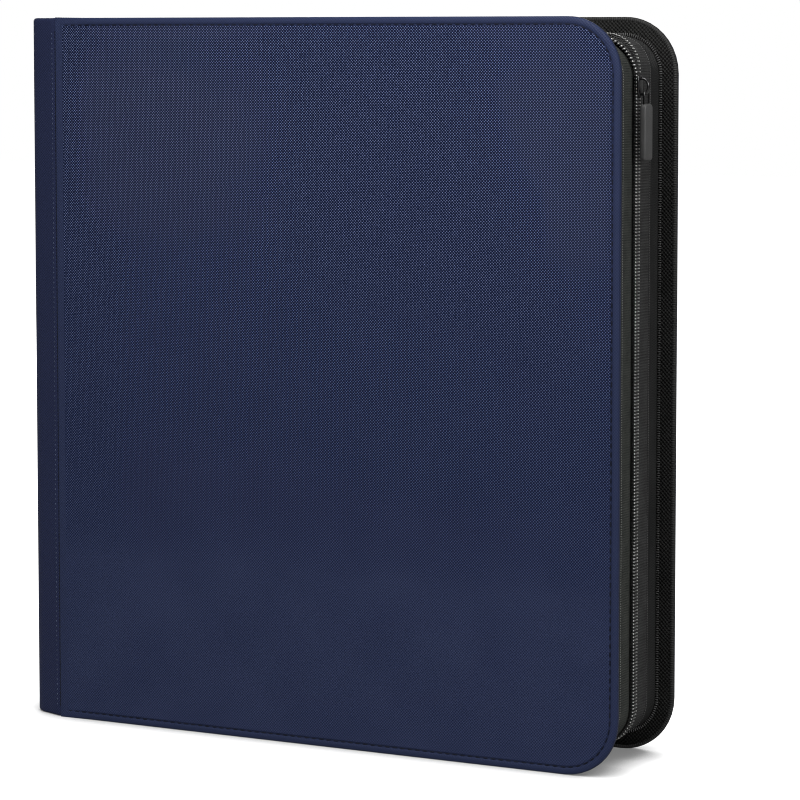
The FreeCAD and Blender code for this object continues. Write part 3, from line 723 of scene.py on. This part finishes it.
def gusset(side):
    """Plain cloth wall between a cover and its zip tape, with the waves and the crease of slack cloth."""
    sign = SIDES[side]
    rim = wall_rim()
    share = unzipped(rim)
    seam = seam_level(side, share)
    base = np.full(len(rim.run), sign * INSIDE_Y)
    corner = rim.run[np.argmin(abs(share - DENT["unzipped"]))]
    dent = DENT["depth"] * np.exp(-(((rim.run - corner) / DENT["length"]) ** 2)) * (sign > 0)
    columns = []
    for across in np.linspace(0, 1, 15):
        y = base + (seam - base) * across
        belly = math.sin(math.pi * across)
        waves = ripples(rim, 28, across * 1.3, sign * 3.1)
        pinch = math.exp(-(((across - DENT["across"]) / DENT["spread"]) ** 2)) * belly
        columns.append((belly * (waves * 1.1 - 0.5) * MM - dent * pinch, y))
    columns[-1] = (0.35 * MM, seam - sign * 0.4 * MM)
    columns += [(0.35 * MM, seam - sign * 0.9 * MM), (-0.2 * MM, seam - sign * 1.0 * MM)]
    made = thicken(strip(side + "_gusset_cloth", rim, columns, sign > 0), 0.35 * MM)
    place_piece(made, GUSSET, side + "_cover", [side + "_gusset"])
    return made


def tape(side):
    """Ribbed zip tape from the gusset's seam to the coil. Its last stretch drops under the coil."""
    sign = SIDES[side]
    rim = wall_rim()
    share = unzipped(rim)
    seam = seam_level(side, share) + sign * TAPE_LAP
    edge = CHAIN_Y + sign * (0.2 * MM + SPREAD[side] * share)
    lip = edge + sign * LIP
    waves = ripples(rim, 22, 4.2, sign * 7.7)
    columns = []
    for across in np.linspace(0, 1, 9):
        height = math.sin(math.pi * across) * waves * 0.6 * MM + 0.25 * MM
        columns.append((height, seam + (lip - seam) * across))
    columns.append((-0.1 * MM, lip - sign * 0.25 * MM))
    columns.append((-0.6 * MM, lip - sign * 0.5 * MM))
    columns.append((-0.6 * MM, edge))
    made = thicken(strip(side + "_tape", rim, columns, sign > 0), 0.3 * MM)
    material = FRONT_TAPE if sign < 0 else REAR_TAPE
    place_piece(made, material, side + "_cover", [side + "_zip_tape"])
    return made


def coil(side):
    """Half of the zip's nylon coil, one flattened helix. Also gives its rim and its middle's y along it."""
    sign = SIDES[side]
    rim = wall_rim(spacing=COIL_PITCH)
    turns = int(rim.run[-1] / COIL_PITCH)
    mark = np.arange(turns * COIL_STEPS + 1) / COIL_STEPS
    run = (mark + (0.5 if sign > 0 else 0.0)) * COIL_PITCH
    run = np.minimum(run, rim.run[-1])
    middle = CHAIN_Y + sign * (COIL_WIDTH / 2 - COIL_OVERLAP + SPREAD[side] * unzipped(rim))
    low, high = 0.1 * MM + COIL_WIRE, CHAIN_TOP + 0.1 * MM - COIL_WIRE
    centre = rim.at(run, rim.points((low + high) / 2, middle))
    out = rim.at(run, rim.outs)
    turn = 2 * math.pi * mark
    reach = (COIL_WIDTH / 2 - COIL_WIRE) * np.cos(turn)
    lift = (high - low) / 2 * np.sin(turn)
    path = centre + np.stack([out[:, 0] * lift, reach, out[:, 1] * lift], 1)
    made = tube_object(side + "_coil", path, COIL_WIRE, sides=6)
    place_piece(made, COIL, side + "_cover", [side + "_zip_chain"])
    return rim, middle


def on_wall(rim, outward, y, pitch):
    """Frames spaced along the wall: X along it and Z straight off it, for copies()."""
    spots = rim.points(outward, y)
    frames = []
    for mark in np.arange(pitch / 2, rim.run[-1], pitch):
        out_x, out_z = rim.at(mark, rim.outs)
        out = np.array([out_x, 0, out_z])
        out /= np.linalg.norm(out)
        along = np.cross(out, (0, 1, 0))
        frames.append((rim.at(mark, spots), np.array([along, np.cross(out, along), out])))
    return frames


def coil_threads(side, rim, middle):
    """The two rows of thread that sew a coil to its tape, a bead to each turn. The outer row is paler; on the
    rear coil it is painted darker, as painted shade.
    """
    for row, material in (("outer", COIL_THREAD_WITH_SHADED_REAR[side]), ("inner", TOOTH_THREAD)):
        y = middle + SIDES[side] * COIL_ROWS[row]["across"] * COIL_WIDTH
        beads = on_wall(rim, CHAIN_TOP + 0.15 * MM, y, COIL_PITCH)
        made = copies(f"{side}_{row}_threads", bead(0.68 * MM, COIL_ROWS[row]["width"], 0.3 * MM), beads)
        place_piece(made, material, side + "_cover")


def seam_threads(side):
    """Stitches of the seam between gusset and tape, and the bars where the gusset meets the cover."""
    sign = SIDES[side]
    rim = wall_rim()
    seam = seam_level(side, unzipped(rim)) - sign * SEAM_ROW[side]
    beads = on_wall(rim, 0.4 * MM, seam, SEAM_PITCH)
    made = copies(side + "_seam_stitches", bead(0.55 * MM, 0.6 * MM, 0.22 * MM), beads)
    place_piece(made, SEAM_THREAD if sign < 0 else RIB_THREAD, side + "_cover")
    edge = wall_rim(inset=FLANGE - 1.0 * MM)
    bars = edge.frames_at(BINDING_RIB, sign * (INSIDE_Y - 0.1 * MM), up=(0, -sign, 0))
    bars = [(origin, axes[[1, 0, 2]]) for origin, axes in bars]
    made = copies(side + "_edge_bars", bead(1.5 * MM, 0.5 * MM, 0.3 * MM), bars)
    return place_piece(made, RIB_THREAD, side + "_cover")


for side_name in SIDES:
    gusset(side_name)
    tape(side_name)
    coil_threads(side_name, *coil(side_name))
    seam_threads(side_name)

# ---------------------------------------- slider and pull

BODY_LOW, BODY_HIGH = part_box("slider_body")
BRIDGE_LOW, BRIDGE_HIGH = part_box("slider_bridge")
LINK_LOW, LINK_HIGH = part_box("pull_link")
TAB_LOW, TAB_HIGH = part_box("pull_tab")
PLATE = 1.1 * MM  # thickness of the slider's two plates
CROWN_SHARE = 0.76  # width of the upper plate as a share of the under plate's
FLANK_FROM = 1.7 * MM  # the slider's rear flank starts this far from the middle of the zip
POST_HALF_Y, POST_HALF_Z, POST_DOWN = 0.8 * MM, 1.4 * MM, 1.9 * MM  # half sizes, and middle below the head
ARCH_WIRE = 0.72 * MM
LINK_CORNER = 1.6 * MM
TAB_TOP_CORNER, TAB_FOOT_CORNER = 2.2 * MM, 1.5 * MM


def slab(name, outline, low, high, bevel):
    """A plate parallel to the wall: an outline of (y, z) points between two x levels, with rounded edges."""
    count = len(outline)
    points = [(x, y, z) for x in (low, high) for y, z in outline]
    faces = [tuple(range(count))[::-1], tuple(range(count, 2 * count))]
    faces += [(k, (k + 1) % count, (k + 1) % count + count, k + count) for k in range(count)]
    return soften(mesh_object(name, points, faces), bevel, 3)


def shield(low, high, waist):
    """Outline of a slider's plate: a broad rounded head that narrows by waist to a rounded foot."""
    middle_y, half = (low.y + high.y) / 2, (high.y - low.y) / 2
    middle_z, tall = (low.z + high.z) / 2, (high.z - low.z) / 2
    outline = []
    for step in range(32):
        angle = 2 * math.pi * step / 32
        c, s = math.cos(angle), math.sin(angle)
        wide = half * (1 - waist * (0.5 - 0.5 * s))
        y = wide * math.copysign(abs(c) ** 0.6, c)
        outline.append((middle_y + y, middle_z + tall * math.copysign(abs(s) ** 0.75, s)))
    return outline


def narrowed(outline):
    """An outline drawn in towards the middle of the zip."""
    return [(CHAIN_Y + (y - CHAIN_Y) * CROWN_SHARE, z) for y, z in outline]


def slider_pieces():
    """Slider: two shield-shaped plates joined by a flank and a post, and the arch that holds the pull."""
    outline = shield(BODY_LOW, BODY_HIGH, 0.28)
    crown = narrowed(outline)
    lip = [(y, z) for y, z in crown if y > CHAIN_Y + FLANK_FROM]
    lip += narrowed(reversed(lip))
    post = []
    for angle in np.linspace(0, 2 * math.pi, 16, endpoint=False):
        z = BODY_HIGH.z - POST_DOWN + POST_HALF_Z * math.sin(angle)
        post.append((CHAIN_Y + POST_HALF_Y * math.cos(angle), z))
    for name, shape, low, high, bevel, nodes in (
        ("slider_plate", crown, BODY_HIGH.x - PLATE, BODY_HIGH.x, 0.45 * MM, ["slider_body"]),
        ("slider_under_plate", outline, BODY_LOW.x, BODY_LOW.x + PLATE, 0.4 * MM, ()),
        ("slider_lip", lip, WALL_X + 0.5 * MM, BODY_HIGH.x - PLATE / 2, 0.1 * MM, ()),
        ("slider_wedge", post, BODY_LOW.x + PLATE / 2, BODY_HIGH.x - PLATE / 2, 0.1 * MM, ()),
    ):
        place_piece(slab(name, shape, low, high, bevel), ENAMEL, "slider", nodes)
    foot, top = BODY_HIGH.x - 0.4 * MM, BRIDGE_HIGH.x - ARCH_WIRE
    middle_z, tall = (BRIDGE_LOW.z + BRIDGE_HIGH.z) / 2, (BRIDGE_HIGH.z - BRIDGE_LOW.z) / 2 - ARCH_WIRE
    path = []
    for angle in np.linspace(0, math.pi, 25):
        rise = math.sin(angle) ** 0.65
        path.append((foot + (top - foot) * rise, CHAIN_Y, middle_z + tall * math.cos(angle)))
    arch = tube_object("slider_arch", path, ARCH_WIRE, sides=12, flat=1.5)
    place_piece(arch, ENAMEL, "slider", ["slider_bridge"])


def rounded_outline(low, high, top_corner, foot_corner, steps):
    """(y, z) outline of a rectangle between two corners, rounded, from its +Y side over its top."""
    outline = []
    for right, top, first in ((1, 1, 0), (0, 1, 90), (0, 0, 180), (1, 0, 270)):
        corner = top_corner if top else foot_corner
        y = high[0] - corner if right else low[0] + corner
        z = high[1] - corner if top else low[1] + corner
        for angle in np.radians(np.linspace(first, first + 90, steps)):
            outline.append((y + corner * math.cos(angle), z + corner * math.sin(angle)))
    return outline


def pull_pieces():
    """Pull: a wire loop through the arch, and a moulded tab with rounded corners and soft edges."""
    wire = (LINK_HIGH.x - LINK_LOW.x) / 2
    x, half = (LINK_LOW.x + LINK_HIGH.x) / 2, (LINK_HIGH.y - LINK_LOW.y) / 2 - wire
    low, high = (CHAIN_Y - half, LINK_LOW.z + wire), (CHAIN_Y + half, LINK_HIGH.z - wire)
    path = [(x, y, z) for y, z in rounded_outline(low, high, LINK_CORNER, LINK_CORNER, 7)]
    loop = tube_object("pull_wire", path, wire, sides=12, closed=True)
    place_piece(loop, ENAMEL, "pull", ["pull_link"])

    outline = rounded_outline(TAB_LOW.yz, TAB_HIGH.yz, TAB_TOP_CORNER, TAB_FOOT_CORNER, 6)
    made = slab("pull_grip", outline, TAB_LOW.x, TAB_HIGH.x, 0.9 * MM)
    place_piece(made, TAB_RUBBER, "pull", ["pull_tab"])


slider_pieces()
pull_pieces()

# ---------------------------------------- rings and small metal parts


def finish_node(node, material, bevel=0.0):
    """Gives a CAD node its material and, if asked, softer edges."""
    node_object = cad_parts[node]
    node_object.data.materials.clear()
    node_object.data.materials.append(material)
    if bevel:
        soften(node_object, bevel, 2)


for node_name in ("ring_housing", "top_lever", "bottom_lever", "housing_rivets"):
    finish_node(node_name, CHROME, 0.2 * MM)
for node_name in ("front_ring_halves", "rear_ring_halves"):
    finish_node(node_name, CHROME)
for node_name in ("front_rail", "rear_rail"):
    finish_node(node_name, STEEL, 0.15 * MM)
finish_node("zip_stops", ENAMEL, 0.2 * MM)
for node_name in ("front_board", "rear_board", "spine_board"):
    finish_node(node_name, BOARD)

# ---------------------------------------- leaves

LEAVES = sorted(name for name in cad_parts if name.startswith("leaf_"))
STRIP = 24 * MM  # punched strip beside the pockets
WELD = 2.5 * MM  # welded line between two pockets
FILM_RISE = 0.16 * MM  # height of a film's middle off the leaf core
FILM_EDGE = 0.04 * MM  # and of its border


def pocket_template(width, height):
    """One clear pocket: a film that lifts off its welded border into a slightly full middle."""
    steps = 9
    points = []
    for i in range(steps):
        for k in range(steps):
            u, v = i / (steps - 1), k / (steps - 1)
            swell = math.sin(math.pi * u) * math.sin(math.pi * v)
            on_border = {i, k} & {0, steps - 1}
            rise = FILM_EDGE if on_border else FILM_RISE * (0.6 + 0.4 * swell)
            points.append((width * (u - 0.5), height * (v - 0.5), rise))
    return np.array(points), grid_faces(steps, steps, flip=True).tolist()


def leaf_films(node):
    """The nine clear pockets on each side of one leaf, and the leaf core's material."""
    low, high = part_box(node)
    width = (high.x - low.x - STRIP) / 3
    height = (high.z - low.z) / 3
    template = pocket_template(width - WELD, height - WELD)
    films = []
    for column in range(3):
        for row in range(3):
            x = low.x + STRIP + width * (column + 0.5) - WELD / 4  # the free edge keeps the wider border
            z = low.z + height * (row + 0.5)
            films.append(((x, low.y, z), np.array([(1, 0, 0), (0, 0, 1), (0, -1, 0)], float)))
            films.append(((x, high.y, z), np.array([(-1, 0, 0), (0, 0, 1), (0, 1, 0)], float)))
    made = copies(node + "_pockets", template, films)
    place_piece(made, POCKET_FILM, node)
    finish_node(node, LEAF_CORE)


for leaf_name in LEAVES:
    leaf_films(leaf_name)

# ---------------------------------------- studio

LIGHTS = {  # place, target, size in metres and power in watts
    "overhead": ((0.1, -0.24, 0.64), (0.05, 0, 0.22), 0.35, 2.0),
    "front": ((-0.3, -2.0, 0.9), (0, 0, 0.17), 1.2, 14),
    "right": ((1.7, -0.7, 0.9), (0.1, 0, 0.17), 0.7, 14.5),
    "behind": ((-1.3, 1.7, 0.9), (0, 0, 0.17), 1.2, 28),
}
WORLD_LIGHT = 0.22
FLOOR_HALF = 6.0
FLOOR_TONE = 0.45
SHADOW_REACH = 0.024  # how near a piece darkens the floor with painted contact shadow
CAMERA_PLACE = (0.75434, -1.35447, 0.3301)
CAMERA_HEADING = (-0.47056, 0.88237, 0)
CAMERA_PITCH = math.radians(4.6125)  # downwards
CAMERA_LENS, CAMERA_SENSOR, CAMERA_SHIFT = 148.07, 36, -0.12


def surround(world):
    """White to the camera, and a soft grey light to everything else."""
    world.use_nodes = True
    tree = world.node_tree
    lit = tree.nodes["Background"]
    lit.inputs["Color"].default_value, lit.inputs["Strength"].default_value = (1, 1, 1, 1), WORLD_LIGHT
    seen = tree.nodes.new("ShaderNodeBackground")
    seen.inputs["Color"].default_value = (1, 1, 1, 1)
    ray, mix = tree.nodes.new("ShaderNodeLightPath"), tree.nodes.new("ShaderNodeMixShader")
    tree.links.new(ray.outputs["Is Camera Ray"], mix.inputs[0])
    tree.links.new(lit.outputs[0], mix.inputs[1])
    tree.links.new(seen.outputs[0], mix.inputs[2])
    tree.links.new(mix.outputs[0], tree.nodes["World Output"].inputs["Surface"])


def floor_paper():
    """Paper that glows white to the camera, with a painted contact shadow that dims it close to what stands
    on it.
    """
    paper = Material("floor_paper", (FLOOR_TONE,) * 3, 0.95, Specular_IOR_Level=0.0)
    near = paper.tree.nodes.new("ShaderNodeAmbientOcclusion")
    near.inputs["Distance"].default_value = SHADOW_REACH
    ray = paper.tree.nodes.new("ShaderNodeLightPath")
    # painted contact shadow: the glow dims as the ambient occlusion finds pieces close by
    glow = paper.node("MapRange", near.outputs["AO"], 0.4, 0.88, 0.1, 1.0)
    strength = paper.math("MULTIPLY", glow.outputs[0], ray.outputs["Is Camera Ray"])
    paper.shader.inputs["Emission Color"].default_value = (1, 1, 1, 1)
    paper.tree.links.new(strength, paper.shader.inputs["Emission Strength"])
    return paper.material


def area_light(name, place, target, size, power):
    """A square soft light that looks at target."""
    light = bpy.data.lights.new(name, "AREA")
    light.energy, light.size = power, size
    lamp = bpy.data.objects.new(name, light)
    lamp.location = place
    lamp.rotation_euler = (Vector(target) - Vector(place)).to_track_quat("-Z", "Y").to_euler()
    bpy.context.scene.collection.objects.link(lamp)


def studio():
    """White floor and surround, soft lights on all sides, and the camera."""
    scene = bpy.context.scene
    scene.view_settings.view_transform = "Standard"
    scene.cycles.filter_width = 1.0
    scene.world = bpy.data.worlds.new("studio")
    surround(scene.world)

    corners = [(x * FLOOR_HALF, y * FLOOR_HALF, 0) for x, y in ((-1, -1), (1, -1), (1, 1), (-1, 1))]
    floor = mesh_object("floor", corners, [(0, 1, 2, 3)])
    floor.data.materials.append(floor_paper())
    for name, settings in LIGHTS.items():
        area_light(name, *settings)

    camera = bpy.data.objects.new("camera", bpy.data.cameras.new("camera"))
    camera.location = CAMERA_PLACE
    ahead = Vector(CAMERA_HEADING).normalized() * math.cos(CAMERA_PITCH)
    ahead.z = -math.sin(CAMERA_PITCH)
    camera.rotation_euler = ahead.to_track_quat("-Z", "Y").to_euler()
    camera.data.lens, camera.data.sensor_width = CAMERA_LENS, CAMERA_SENSOR
    camera.data.shift_y = CAMERA_SHIFT
    scene.collection.objects.link(camera)
    scene.camera = camera


studio()
